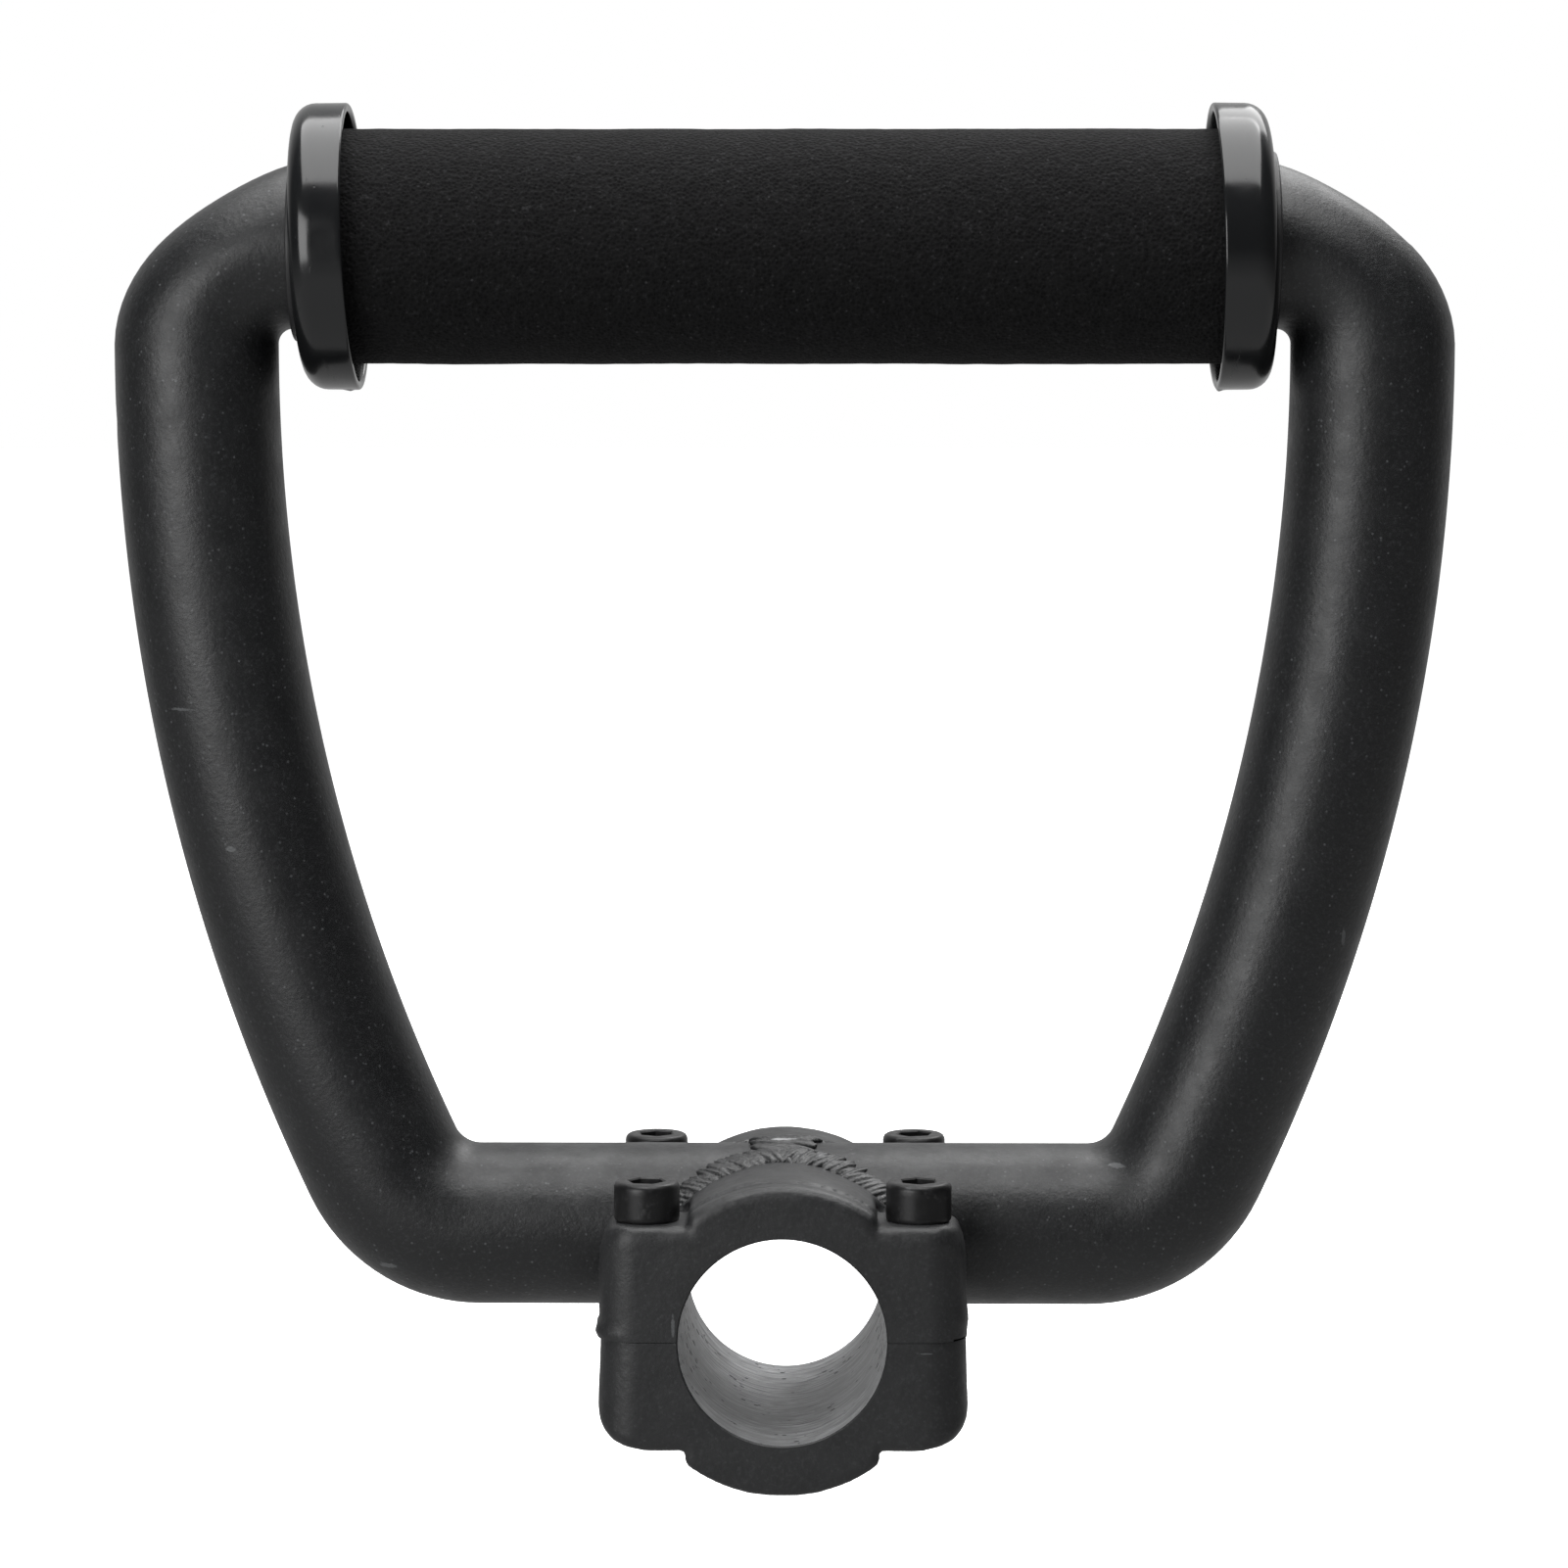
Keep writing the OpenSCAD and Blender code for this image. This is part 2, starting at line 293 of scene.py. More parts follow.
class Shader:
    """Small builder for one node material."""

    def __init__(self, name):
        self.material = bpy.data.materials.new(name)
        self.material.use_nodes = True
        self.tree = self.material.node_tree
        self.bsdf = self.tree.nodes["Principled BSDF"]
        self.coords = self.add("ShaderNodeTexCoord").outputs["Object"]
        self.normal = None

    def add(self, kind, inputs=None, **settings):
        made = self.tree.nodes.new(kind)
        for key, value in settings.items():
            setattr(made, key, value)
        for key, value in (inputs or {}).items():
            self.put(made.inputs[key], value)
        return made

    def put(self, socket, value):
        if isinstance(value, bpy.types.NodeSocket):
            self.tree.links.new(value, socket)
        else:
            socket.default_value = value

    def set(self, **values):
        for key, value in values.items():
            self.put(self.bsdf.inputs[key.replace("_", " ")], value)

    def stretched(self, scale):
        """Object coordinates scaled along each axis."""
        return self.add("ShaderNodeMapping", {"Vector": self.coords, "Scale": scale}).outputs[0]

    def noise(self, size_mm, detail=3.0, roughness=0.55, vector=None):
        """Noise with features of about that size in millimetres."""
        scale = 1 / (size_mm * MM)
        inputs = {"Vector": vector or self.coords, "Scale": scale, "Detail": detail, "Roughness": roughness}
        return self.add("ShaderNodeTexNoise", inputs).outputs["Fac"]

    def cells(self, size_mm):
        """Distance to the nearest of scattered points, which lie about that far apart."""
        inputs = {"Vector": self.coords, "Scale": 1 / (size_mm * MM)}
        return self.add("ShaderNodeTexVoronoi", inputs).outputs["Distance"]

    def ramp(self, value, low, high, to_low=0.0, to_high=1.0):
        """Value mapped from one range to another, and kept inside it."""
        inputs = {"Value": value, "From Min": low, "From Max": high, "To Min": to_low, "To Max": to_high}
        return self.add("ShaderNodeMapRange", inputs).outputs["Result"]

    def math(self, operation, a, b=0.0):
        made = self.add("ShaderNodeMath", operation=operation)
        self.put(made.inputs[0], a)
        self.put(made.inputs[1], b)
        return made.outputs[0]

    def mix(self, share, a, b):
        """Colour b over colour a by a share."""
        made = self.add("ShaderNodeMix", data_type="RGBA")
        self.put(made.inputs[0], share)
        for socket, value in ((made.inputs[6], a), (made.inputs[7], b)):
            self.put(socket, value if isinstance(value, bpy.types.NodeSocket) else (*value, 1.0))
        return made.outputs[2]

    def bump(self, height, depth_mm):
        """Adds relief of that depth to the surface."""
        inputs = {"Height": height, "Distance": depth_mm * MM, "Strength": 1.0}
        if self.normal is not None:
            inputs["Normal"] = self.normal
        self.normal = self.add("ShaderNodeBump", inputs).outputs["Normal"]
        self.put(self.bsdf.inputs["Normal"], self.normal)

    def marks(self, places):
        """1 inside small ragged spots, given as centre and half sizes in millimetres."""
        total = None
        rag = self.noise(0.5, 3.0)
        for centre, half in places:
            scale = [1 / (h * MM) for h in half]
            shift = [-c / h for c, h in zip(centre, half)]
            inputs = {"Vector": self.coords, "Location": shift, "Scale": scale}
            local = self.add("ShaderNodeMapping", inputs).outputs[0]
            away = self.add("ShaderNodeVectorMath", {0: local}, operation="LENGTH").outputs["Value"]
            spot = self.ramp(self.math("ADD", away, rag), 1.5, 1.2)
            total = spot if total is None else self.math("MAXIMUM", total, spot)
        return total

    def upward(self):
        """1 where the surface faces up, 0 where it faces sideways or down."""
        normal = self.add("ShaderNodeTexCoord").outputs["Normal"]
        height = self.add("ShaderNodeSeparateXYZ", {"Vector": normal}).outputs["Z"]
        return self.ramp(height, 0.1, 0.9)


def coat(name, base, dust_and_sheen_colour, gloss, peel_mm, peel_depth, speck, dust_and_sheen_reach, scuffs, glint_spots=()):
    """Satin black powder coat: orange peel, cloudy sheen, dust specks, paler blotches and single scuffs.

    The argument after speck is how far out from the middle the paler blotches reach, in millimetres. They lie
    on up-facing faces low down, and are partly dust and rubbing, partly a painted sheen of the light from
    above.
    """
    s = Shader(name)
    position = s.add("ShaderNodeSeparateXYZ", {"Vector": s.coords}).outputs
    clouds = s.noise(9.0, 5.0, 0.65)
    colour = s.mix(s.ramp(clouds, 0.35, 0.7), base, tuple(1.35 * c for c in base))

    # Paler blotches on up-facing faces near the middle and low down: partly dust and rubbing, partly painted
    # sheen of the light from above.
    near = s.ramp(s.math("ABSOLUTE", position["X"]), dust_and_sheen_reach * MM, 0.6 * dust_and_sheen_reach * MM)
    low = s.ramp(position["Z"], 0.045, 0.035)
    dust_and_sheen_mask = s.ramp(s.noise(7.0, 6.0, 0.7), 0.42, 0.68)
    dust_and_sheen_mask = s.math("MULTIPLY", s.math("MULTIPLY", dust_and_sheen_mask, s.upward()), s.math("MULTIPLY", near, low))
    colour = s.mix(s.math("MULTIPLY", dust_and_sheen_mask, 0.8), colour, dust_and_sheen_colour)

    specks = s.ramp(s.cells(1.25), 0.2, 0.1)
    sparse = s.ramp(s.noise(2.2, 3.0), 0.42, 0.6)
    specks = s.math("MULTIPLY", s.math("MULTIPLY", specks, sparse), speck)
    colour = s.mix(specks, colour, (0.085, 0.088, 0.092))
    fine = s.ramp(s.noise(0.6, 3.0, 0.6), 0.52, 0.74, 0.0, 0.35)
    colour = s.mix(fine, colour, (0.05, 0.052, 0.055))
    colour = s.mix(s.math("MULTIPLY", s.marks(scuffs), 0.5), colour, (0.14, 0.145, 0.15))

    shine = s.ramp(s.noise(5.0, 6.0, 0.65), 0.3, 0.7, gloss - 0.06, gloss + 0.07)
    # Optional spots: a smoother finish, and a pale colour that is a painted glint.
    if glint_spots:
        glint_and_polish = s.marks(glint_spots)
        colour = s.mix(glint_and_polish, colour, (0.33, 0.335, 0.34))
        shine = s.math("SUBTRACT", shine, s.math("MULTIPLY", glint_and_polish, 0.2))
    s.set(Base_Color=colour, Roughness=shine)
    s.bsdf.inputs["Specular IOR Level"].default_value = 0.5
    s.bump(s.noise(peel_mm, 2.0), peel_depth)
    s.bump(s.noise(0.4, 3.0, 0.6), peel_depth * 0.5)
    return s.material


# Casting pits in the bore: side, y and z
PITS = [
    (-1, 4.0, -4.6), (-1, 15.0, -7.6), (-1, 4.0, -7.0), (-1, -7.0, -5.1), (-1, -6.0, -6.4), (-1, -15.0, -7.2),
    (-1, 13.0, -6.1), (-1, 1.0, -5.2), (1, 15.0, -4.7), (1, 1.0, -4.0), (1, 10.0, -6.0), (1, 2.0, -5.6),
    (1, -4.0, -6.5), (1, -15.0, -4.4), (1, -13.0, -5.4), (1, -15.0, -6.4),
]


def bare_metal():
    """Bored metal: lines round the bore, cloudy grey, scuffs and small casting pits, darkened with painted
    shade.
    """
    s = Shader("bored_metal")
    lines = s.noise(1.0, 6.0, 0.7, s.stretched((0.12, 1.6, 0.12)))
    scuffs = s.noise(1.0, 3.0, 0.6, s.stretched((0.12, 1.7, 0.12)))
    clouds = s.noise(4.0, 5.0, 0.65)
    height = s.add("ShaderNodeSeparateXYZ", {"Vector": s.coords}).outputs["Z"]
    pits_with_painted_shade = s.ramp(s.cells(1.5), 0.32, 0.24)
    where = s.ramp(s.math("ABSOLUTE", height), 0.0075, 0.004)
    where = s.math("MAXIMUM", where, s.ramp(s.noise(5.0, 1.0), 0.58, 0.62))
    pits_with_painted_shade = s.math("MULTIPLY", pits_with_painted_shade, s.math("MULTIPLY", where, s.ramp(s.noise(1.7, 1.0), 0.42, 0.48)))
    pits = [((side * math.sqrt(BAR_R ** 2 - z ** 2), y, z), (0.55, 0.8, 0.55)) for side, y, z in PITS]
    pits_with_painted_shade = s.math("MAXIMUM", pits_with_painted_shade, s.marks(pits))
    colour = s.mix(s.ramp(lines, 0.38, 0.64), (0.17, 0.172, 0.176), (0.55, 0.555, 0.565))
    colour = s.mix(s.ramp(clouds, 0.42, 0.66, 0.0, 0.7), colour, (0.22, 0.222, 0.225))
    colour = s.mix(s.ramp(scuffs, 0.60, 0.66, 0.0, 0.85), colour, (0.08, 0.081, 0.083))
    # The casting pits get a near-black colour: painted shade inside these hollows; the hollows themselves are
    # the bump below.
    colour = s.mix(pits_with_painted_shade, colour, (0.012, 0.012, 0.013))
    s.set(Base_Color=colour, Roughness=s.ramp(lines, 0.3, 0.7, 0.38, 0.6))
    s.bsdf.inputs["Metallic"].default_value = 0.55
    s.bump(lines, 0.03)
    s.bump(s.math("SUBTRACT", 1.0, pits_with_painted_shade), 0.15)
    return s.material


def black_oxide():
    """Blackened steel of the screws, lighter in fine streaks of wear."""
    s = Shader("black_oxide_steel")
    wear = s.ramp(s.noise(1.6, 5.0, 0.65), 0.56, 0.75)
    colour = s.mix(wear, (0.012, 0.012, 0.0125), (0.045, 0.045, 0.047))
    s.set(Base_Color=colour, Roughness=s.ramp(s.noise(0.9, 4.0), 0.3, 0.7, 0.30, 0.46))
    s.bsdf.inputs["Metallic"].default_value = 0.35
    s.bump(s.noise(0.25, 3.0), 0.008)
    return s.material


def foam():
    """Closed-cell foam: fine open pits darkened with painted shade, a mottled skin and pale dust specks."""
    s = Shader("foam_rubber")
    pits_with_painted_shade = s.cells(0.62)
    small = s.cells(0.3)
    mottle = s.noise(3.0, 4.0, 0.6)
    dust = s.math("MULTIPLY", s.ramp(s.cells(1.5), 0.17, 0.08), s.ramp(s.noise(2.2, 3.0), 0.5, 0.6))
    grains = s.ramp(s.noise(0.7, 3.0, 0.6), 0.56, 0.72)
    # The pits are real hollows; their darker colour is painted shade in them.
    colour = s.mix(s.ramp(pits_with_painted_shade, 0.15, 0.6), (0.0018, 0.0018, 0.0019), (0.0068, 0.0068, 0.0070))
    colour = s.mix(s.ramp(mottle, 0.4, 0.75, 0.0, 0.5), colour, (0.0095, 0.0095, 0.0098))
    grains = s.math("MULTIPLY", grains, s.ramp(mottle, 0.35, 0.65, 0.2, 1.0))
    colour = s.mix(grains, colour, (0.022, 0.022, 0.023))
    colour = s.mix(s.math("MULTIPLY", dust, 0.22), colour, (0.11, 0.11, 0.115))
    s.set(Base_Color=colour)
    s.bsdf.inputs["Roughness"].default_value = 0.93
    s.bsdf.inputs["Specular IOR Level"].default_value = 0.15
    s.bump(pits_with_painted_shade, 0.24)
    s.bump(small, 0.05)
    return s.material


def collar_plastic():
    """Glossy black plastic with flow marks, fine scratches and a few nicks."""
    s = Shader("collar_plastic")
    nicks = s.math("MULTIPLY", s.ramp(s.cells(2.2), 0.08, 0.03), s.ramp(s.noise(4.0, 1.0), 0.56, 0.62))
    scratches = s.ramp(s.noise(1.0, 4.0, 0.7, s.stretched((0.9, 0.12, 0.2))), 0.62, 0.72)
    colour = s.mix(s.math("MULTIPLY", nicks, 0.5), (0.0085, 0.0090, 0.0097), (0.14, 0.145, 0.15))
    shine = s.ramp(s.noise(3.0, 3.0), 0.3, 0.7, 0.14, 0.20)
    s.set(Base_Color=colour, Roughness=s.math("ADD", shine, s.math("MULTIPLY", scratches, 0.15)))
    s.bump(s.noise(7.0, 1.0), 0.05)
    s.bump(s.math("MULTIPLY", nicks, -1.0), 0.05)
    return s.material


def core_plastic():
    """Matt black nylon with turning lines."""
    s = Shader("core_plastic")
    lines = s.noise(1.0, 3.0, 0.6, s.stretched((3.0, 0.3, 0.3)))
    colour = s.mix(s.ramp(lines, 0.3, 0.7), (0.012, 0.012, 0.013), (0.02, 0.02, 0.021))
    s.set(Base_Color=colour, Roughness=s.ramp(s.noise(2.0), 0.3, 0.7, 0.42, 0.56))
    s.bump(lines, 0.02)
    return s.material


def floor_material():
    """Pale studio floor, faintly uneven. It is clear from below, so that the underside can be seen."""
    s = Shader("studio_floor")
    tone = s.mix(s.noise(300.0, 2.0), (0.86, 0.86, 0.865), (0.90, 0.90, 0.90))
    s.set(Base_Color=tone, Roughness=0.7)
    s.bsdf.inputs["Emission Color"].default_value = (1.0, 1.0, 1.0, 1.0)
    s.bsdf.inputs["Emission Strength"].default_value = FLOOR_GLOW
    from_below = s.add("ShaderNodeNewGeometry").outputs["Backfacing"]
    clear = s.add("ShaderNodeBsdfTransparent").outputs[0]
    shown = s.add("ShaderNodeMixShader", {0: from_below, 1: s.bsdf.outputs[0], 2: clear}).outputs[0]
    s.put(s.tree.nodes["Material Output"].inputs["Surface"], shown)
    return s.material


# ---- handle tube ----

ELBOW_FLAT = 2.7
# Dents: centre, reach and depth
DENTS = [
    ((-96.6, 0.0, 170.6), 1.6, 0.55), ((95.8, -1.0, 169.6), 1.5, 0.6), ((-104.0, -1.0, 140.0), 1.2, 0.25),
    ((98.0, -7.0, 88.0), 1.3, 0.2), ((-61.0, -8.0, 3.2), 1.6, 0.3),
]


def tube_path(step):
    """Centre line of the tube from its right end round to its left end: x, z, heading and elbow share."""
    def along(length, rule):
        count = max(2, math.ceil(abs(length) / step))
        return [rule(t) for t in np.linspace(0, 1, count, endpoint=False)]

    def arc(cx, cz, radius, start, end, elbow=False):
        def at(t):
            angle = start + (end - start) * t
            share = t if elbow else 0.0
            return (cx + radius * math.cos(angle), cz + radius * math.sin(angle), angle + math.pi / 2, share)
        return along(radius * (end - start), at)

    right = along(BEND_X, lambda t: (BEND_X * t, TUBE_Z, 0.0, 0.0))
    right += arc(BEND_X, TUBE_Z + BEND_R, BEND_R, -math.pi / 2, -LIMB_ANGLE)
    right += arc(LIMB_X - LIMB_R, LIMB_TOP, LIMB_R, -LIMB_ANGLE, 0.0)
    right += along(LIMB_STRAIGHT, lambda t: (LIMB_X, LIMB_TOP + LIMB_STRAIGHT * t, math.pi / 2, 0.0))
    right += arc(ELBOW_X, GRIP_Z - ELBOW_R, ELBOW_R, 0.0, math.pi / 2, elbow=True)
    right += along(ELBOW_X, lambda t: (ELBOW_X * (1 - t), GRIP_Z, math.pi, 0.0))
    left = [(-x, z, 2 * math.pi - heading, share) for x, z, heading, share in reversed(right)]
    return np.array(right + [(0.0, GRIP_Z, math.pi, 0.0)] + left)


def tube_skin(radius, end_radius, step, segments, flatten):
    """Rings of one wall of the tube. Its two ends follow a circle of end_radius about the bar."""
    path = tube_path(step)
    turn = np.linspace(0, 2 * math.pi, segments, endpoint=False)
    x, z, heading, share = (column[:, None] for column in path.T)
    out_x, out_z = np.sin(heading), -np.cos(heading)
    outer_side = np.maximum(np.cos(turn), 0) ** 1.5
    r = radius - flatten * np.sin(math.pi * share ** 1.5) * outer_side
    ring_x = x + r * np.cos(turn) * out_x
    ring_z = z + r * np.cos(turn) * out_z
    ring_y = r * np.sin(turn) * np.ones_like(x)
    base = (np.abs(x) < BEND_X) & (z < GRIP_Z / 2)
    end_x = np.maximum(np.sqrt(np.maximum(end_radius ** 2 - ring_z ** 2, 0)), 0.5)
    side = np.where(np.arange(len(path))[:, None] < len(path) / 2, 1.0, -1.0)
    along = np.abs(x) / BEND_X
    ring_x = np.where(base, side * (end_x + (BEND_X - end_x) * along), ring_x)
    return np.stack([ring_x, ring_y, ring_z], axis=-1)


def dented(skin):
    """Presses small dents into the outer wall, as handling leaves on the elbows and limbs."""
    axis = skin.mean(axis=1, keepdims=True)
    inward = (axis - skin) / np.linalg.norm(axis - skin, axis=2, keepdims=True)
    for place, reach, depth in DENTS:
        away = np.linalg.norm(skin - np.array(place), axis=2, keepdims=True)
        skin = skin + inward * depth * np.exp(-(away / reach) ** 2)
    return skin


def build_tube(material):
    """The bent tube, open at its two ends inside the barrel."""
    segments = 96
    buried_end = BARREL_R - 2.5
    outer = dented(tube_skin(TUBE_R, buried_end, 1.2, segments, ELBOW_FLAT))
    inner = tube_skin(TUBE_R - TUBE_WALL, buried_end, 4.0, segments, ELBOW_FLAT)
    points = np.concatenate([outer.reshape(-1, 3), inner.reshape(-1, 3)])
    first_inner = outer.shape[0] * segments
    faces = grid_faces(outer.shape[0], segments) + grid_faces(inner.shape[0], segments, first_inner)
    for outer_row, inner_row in ((0, 0), (outer.shape[0] - 1, inner.shape[0] - 1)):
        for j in range(segments):
            k = (j + 1) % segments
            a, b = outer_row * segments, first_inner + inner_row * segments
            faces.append([a + j, a + k, b + k, b + j])
    tube = make_mesh("tube_bent", points, faces)
    return finish_piece(tube, "frame", [material], ["handle_tube"], sharp=50)


# ---- clamp castings ----

ARCH_HALF_W = 14.4
BOSS_HALF_W = 14.9
# Slit at the front right, where the halves don't quite close
SLIT_LENGTH, SLIT_DEPTH, SLIT_HEIGHT = 2.3, 5.0, 0.34
NET_STEP = 0.6


def clamp_distance(x, y, z, ear_top, half_width, arch_half_w, edge, ear_sag, ears_corner):
    """Distance to one casting with its ears up, before the machining. half_width may vary with x, y and z."""
    ax, ay = np.abs(x), np.abs(y)
    corner_r = 6.0
    qx = ax - half_width + corner_r
    qy = ay - HALF_LENGTH + corner_r
    plan = np.hypot(np.maximum(qx, 0), np.maximum(qy, 0)) + np.minimum(np.maximum(qx, qy), 0) - corner_r
    ears = round_max(ax - half_width - 1.5, z - ear_top + ear_sag(ax), ears_corner)
    ears = round_max(ears, HALF_LENGTH - EAR_DEPTH - ay, 1.2)
    ring = BARREL_R - 0.4 * np.clip((ay - HALF_LENGTH + 4.4) / 0.4, 0, 1)
    circle = np.hypot(x, z) - ring
    keep = np.minimum(np.minimum(ax - arch_half_w, z - ear_top + 1.0 + 0 * x), ay - HALF_LENGTH + EAR_DEPTH)
    barrel = round_max(circle, keep, 0.6)
    rim = edge * (1 + 0.5 * np.clip((ear_top - z) / 2, 0, 1))
    return np.maximum(round_max(round_min(barrel, ears, 0.8), plan, rim), -2.0 - z)


def swelling(z, height, reach, depth):
    """How far a casting's side swells out near a height."""
    return depth * np.exp(-((z - height) / reach) ** 2)


def saddle_distance(x, y, z):
    """Upper casting, with flash over the parting line: a ridge at the left, a swelling at the right."""
    flash = swelling(z, 1.0, 0.9, 0.55) * (x < 0) + swelling(z, 3.2, 2.0, 0.3) * (x > 0) * (y < 0)
    draft = 0.2 * np.clip(z / EAR_TOP, 0, 1)
    return clamp_distance(
        x, y, z, EAR_TOP, HALF_WIDTH + flash - draft, ARCH_HALF_W, 1.8, lambda ax: 0.0, 6.0
    )


def cap_distance(x, y, z):
    """Lower casting, turned upside down: its ears droop at the sides, and its bottom is flat."""
    flare = 0.035 * np.clip(z, 0, 14) - 0.45 + 0.15 * (x > 0)
    body = clamp_distance(
        x, y, z, CAP_EAR, HALF_WIDTH + flare, BOSS_HALF_W, 1.2,
        lambda ax: 0.03 * np.maximum(ax - 19.5, 0) ** 2, 4.5,
    )
    flat_bottom = z + CAP_LOW[2] + 0.25
    return round_max(body, flat_bottom, 1.0)


def cylinder_shell(rings, segments=96):
    """Closed turned shell about Z from (radius, z) rings."""
    turn = np.linspace(0, 2 * math.pi, segments, endpoint=False)
    points = [(r * math.cos(t), r * math.sin(t), z) for r, z in rings for t in turn]
    faces = grid_faces(len(rings), segments)
    faces.append(list(range(segments))[::-1])
    faces.append([(len(rings) - 1) * segments + k for k in range(segments)])
    return np.array(points), faces


def cut(piece, points, faces):
    """Takes a closed shape out of the piece."""
    tool = make_mesh("cutter", points, faces)
    modifier = piece.modifiers.new("cut", "BOOLEAN")
    modifier.operation = "DIFFERENCE"
    modifier.solver = "MANIFOLD"
    modifier.object = tool
    graph = bpy.context.evaluated_depsgraph_get()
    result = bpy.data.meshes.new_from_object(piece.evaluated_get(graph))
    piece.modifiers.clear()
    piece.data = result
    bpy.data.objects.remove(tool)


def block(low, high):
    """Corners and faces of a box."""
    points = [(x, y, z) for x in (low[0], high[0]) for y in (low[1], high[1]) for z in (low[2], high[2])]
    faces = [(0, 1, 3, 2), (4, 6, 7, 5), (0, 4, 5, 1), (2, 3, 7, 6), (0, 2, 6, 4), (1, 5, 7, 3)]
    return np.array(points, float), faces


def machine(piece, up, hole_rings):
    """Saws the split, bores the bar's seat and drills the four screw holes. up is 1 on the saddle."""
    wide, deep = 40.0, 30.0
    low, high = (-deep, SPLIT) if up > 0 else (-SPLIT, deep)
    cut(piece, *block((-wide, -wide, low), (wide, wide, high)))
    chamfer, over = 0.25, 2.0
    if up > 0:
        start = (HALF_WIDTH - SLIT_LENGTH, -HALF_LENGTH - over, -over)
        end = (HALF_WIDTH + over, -HALF_LENGTH + SLIT_DEPTH, SLIT_HEIGHT)
        cut(piece, *block(start, end))
    rings = [
        (BAR_R + chamfer + over, -HALF_LENGTH - over), (BAR_R, -HALF_LENGTH + chamfer),
        (BAR_R, HALF_LENGTH - chamfer), (BAR_R + chamfer + over, HALF_LENGTH + over),
    ]
    shell, faces = cylinder_shell(rings, 192)
    cut(piece, shell[:, [0, 2, 1]], faces)
    shell, faces = cylinder_shell(hole_rings, 48)
    for sx in (-1, 1):
        for sy in (-1, 1):
            cut(piece, shell + (sx * SCREW_X, sy * SCREW_Y, 0), faces)


def paint_machined(piece):
    """Gives the bore its bare metal, which is the second material."""
    for face in piece.data.polygons:
        x, y, z = face.center / MM
        if math.hypot(x, z) < BAR_R + 0.06 and abs(face.normal.y) < 0.3:
            face.material_index = 1


def build_casting(name, node, body, up, distance, hole_rings, materials):
    """One half of the clamp: cast with a slightly uneven skin, then machined. up is 1 on the saddle."""
    low = (-HALF_WIDTH - 2, -HALF_LENGTH - 2, -3.0)
    high = (HALF_WIDTH + 2, HALF_LENGTH + 2, BARREL_R + 2)
    points, faces = surface_net(distance, low, high, NET_STEP)
    from_bore = np.clip((np.hypot(points[:, 0], points[:, 2]) - BAR_R - 0.8) / 2, 0, 1)
    normal_noise = (rough(points, 1.1, 0.04) + rough(points, 6.0, 0.07, 3.1)) * from_bore
    centre = points * (1, 0, 1)
    out = centre / np.maximum(np.linalg.norm(centre, axis=1), 1)[:, None]
    out[:, 1] = np.sign(points[:, 1]) * np.clip(np.abs(points[:, 1]) - HALF_LENGTH + 2, 0, 1)
    points = points + out * normal_noise[:, None]
    points[:, 2] *= up
    piece = make_mesh(name, points, faces)
    for material in materials:
        piece.data.materials.append(material)
    machine(piece, up, hole_rings)
    piece.data.materials.clear()
    for material in materials:
        piece.data.materials.append(material)
    paint_machined(piece)
    return finish_piece(piece, body, [], [node], sharp=28)


# ---- welds ----


def seam_point(angle, side, face):
    """Point where the tube meets the barrel, at an angle round the tube from its top."""
    z = TUBE_Z + TUBE_R * math.cos(angle)
    x = side * math.sqrt(max(BARREL_R ** 2 - z ** 2, 0))
    return np.array([x, -face * TUBE_R * math.sin(angle), z])


def unit(v):
    return v / np.linalg.norm(v)


def fillet_face(point):
    """Direction that a weld faces at a point: midway between the tube's wall and the barrel's."""
    tube_out = unit(np.array([0.0, point[1], point[2] - TUBE_Z]))
    barrel_out = unit(np.array([point[0], 0.0, point[2]]))
    return unit(tube_out + barrel_out)


def bead(path, sizes, slant, lift, rng):
    """Overlapping scales laid along a path: centre, three axes and three radii for each."""
    scales = []
    for k in range(len(path)):
        forward = unit(path[min(k + 1, len(path) - 1)] - path[max(k - 1, 0)])
        across = unit(np.cross(forward, fillet_face(path[k])))
        out = np.cross(across, forward)
        tilt = slant + rng.uniform(-0.14, 0.14)
        along = math.cos(tilt) * forward + math.sin(tilt) * across
        across = np.cross(out, along)
        radii = np.array(sizes) * rng.uniform(0.88, 1.12, 3)
        centre = path[k] + out * (lift + rng.uniform(-0.08, 0.08)) + across * rng.uniform(-0.25, 0.25)
        scales.append((centre, np.stack([along, across, out]), radii))
    return scales


def weld_field(scales):
    """Distance to the scales, melted together."""
    melt = 7.0

    def distance(x, y, z):
        shape = np.shape(x)
        points = np.stack([np.ravel(x), np.ravel(y), np.ravel(z)], axis=1)
        total = np.full(len(points), 1e-9)
        for centre, axes, radii in scales:
            offset = points - centre
            near = (np.abs(offset) < radii.max() + 1.2).all(axis=1)
            local = offset[near] @ axes.T
            k0 = np.linalg.norm(local / radii, axis=1)
            k1 = np.linalg.norm(local / radii ** 2, axis=1) + 1e-9
            total[near] += np.exp(-melt * k0 * (k0 - 1) / k1)
        return (-np.log(total) / melt).reshape(shape)

    return distance


def build_weld(name, node, scales, material):
    """Mesh of one bead, with a finely crinkled skin."""
    centres = np.array([s[0] for s in scales])
    margin = max(s[2].max() for s in scales) + 0.9
    points, faces = surface_net(weld_field(scales), centres.min(0) - margin, centres.max(0) + margin, 0.28)
    points = points + rough(points, 0.7, 0.06)[:, None] * (0, -0.5, 0.8)
    piece = make_mesh(name, points, faces)
    return finish_piece(piece, "frame", [material], [node])


def even_steps(path, step):
    """Points evenly spaced along a dense path."""
    path = np.array(path)
    run = np.concatenate([[0], np.cumsum(np.linalg.norm(np.diff(path, axis=0), axis=1))])
    marks = np.arange(0, run[-1], step)
    return np.stack([np.interp(marks, run, path[:, k]) for k in range(3)], axis=1)


